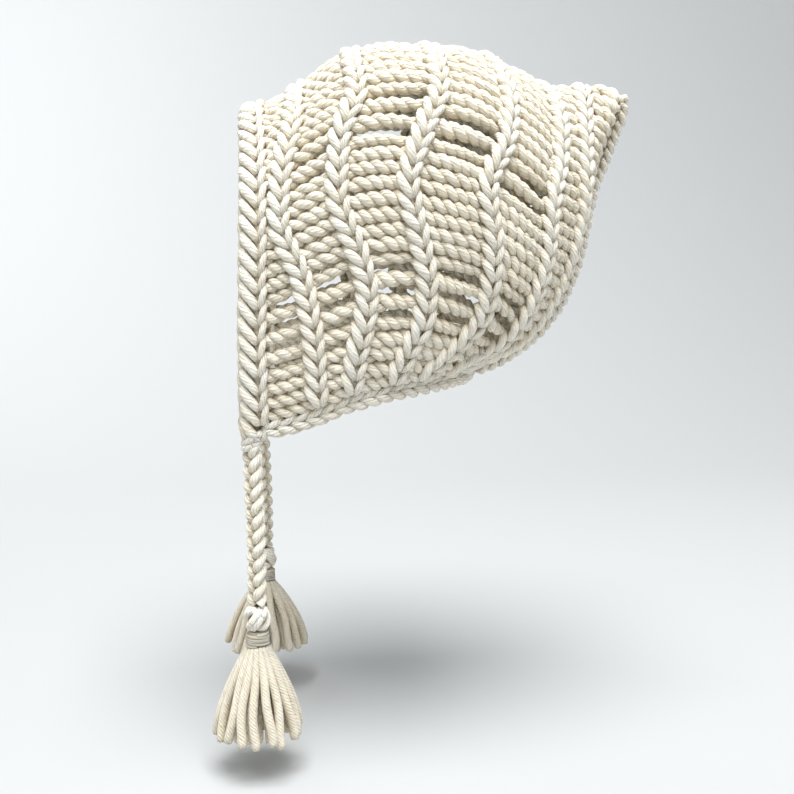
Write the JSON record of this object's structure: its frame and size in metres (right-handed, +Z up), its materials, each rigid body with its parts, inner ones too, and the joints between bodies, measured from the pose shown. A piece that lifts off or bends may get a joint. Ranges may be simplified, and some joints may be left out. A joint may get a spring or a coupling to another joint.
{
  "type": "crochet bonnet",
  "caption": "Chunky crocheted pixie bonnet with raised wavy ridges, a pointed sewn back and plaited ties that end in tassels.",
  "frame": {"origin": "inside of the crown on the middle plane, where the top of the head carries the hood", "axes": "+Z up, -Y out of the face opening, +X to the wearer's left"},
  "size_m": [0.1658, 0.2302, 0.3787],
  "materials": {
    "wool_yarn": "bulky undyed wool yarn, plied, soft and matt",
    "thread_wrap": "the same yarn wound tight round the tassel's neck"
  },
  "bodies": {
    "root": {"row_1": "wool_yarn", "row_2": "wool_yarn", "row_3": "wool_yarn", "row_4": "wool_yarn", "row_5": "wool_yarn", "row_6": "wool_yarn", "row_7": "wool_yarn", "ridge_1": "wool_yarn", "ridge_2": "wool_yarn", "ridge_3": "wool_yarn", "ridge_4": "wool_yarn", "ridge_5": "wool_yarn", "ridge_6": "wool_yarn", "face_border": "wool_yarn", "neck_border": "wool_yarn", "back_seam": "wool_yarn", "tie_left": "wool_yarn", "tie_knot_left": "wool_yarn", "tassel_wrap_left": "thread_wrap", "tassel_left": "wool_yarn", "tie_right": "wool_yarn", "tie_knot_right": "wool_yarn", "tassel_wrap_right": "thread_wrap", "tassel_right": "wool_yarn"}
  },
  "joints": []
}
